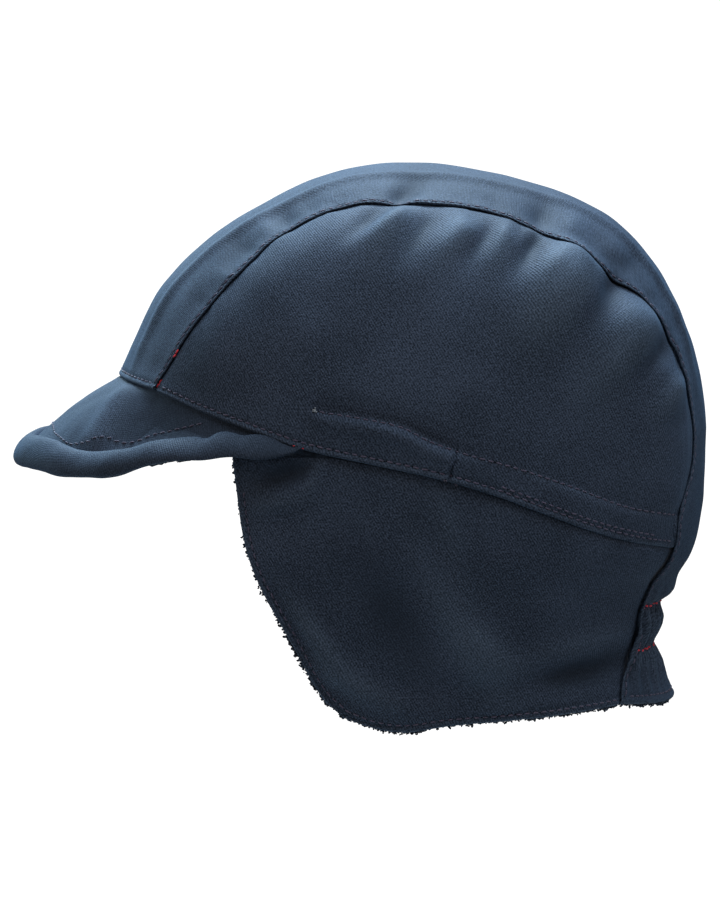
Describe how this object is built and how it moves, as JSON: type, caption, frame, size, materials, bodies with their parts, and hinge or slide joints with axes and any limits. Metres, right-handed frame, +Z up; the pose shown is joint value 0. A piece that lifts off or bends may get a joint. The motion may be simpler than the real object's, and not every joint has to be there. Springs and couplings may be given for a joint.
{
  "type": "winter work cap",
  "caption": "Winter work cap of navy twill with a soft padded peak, ear and neck flaps lined with pile, and a nape gathered by an elastic.",
  "frame": {"origin": "inside of the crown's top on the middle plane, where the wearer's head touches it", "axes": "+Y toward the back of the cap, so the peak points to -Y; +X toward the wearer's left; +Z up through the crown"},
  "size_m": [0.1738, 0.2618, 0.2071],
  "materials": {
    "navy_twill": "matte",
    "navy_pile": "matte"
  },
  "bodies": {
    "root": {"centre_strip": "navy_twill", "side_panel_left": "navy_twill", "side_panel_right": "navy_twill", "ear_flap_left": "navy_twill", "ear_flap_right": "navy_twill", "peak": "navy_twill", "pile_lining_left": "navy_pile", "pile_lining_right": "navy_pile", "pile_lining_nape": "navy_pile", "pile_lining_peak": "navy_pile"}
  },
  "joints": []
}
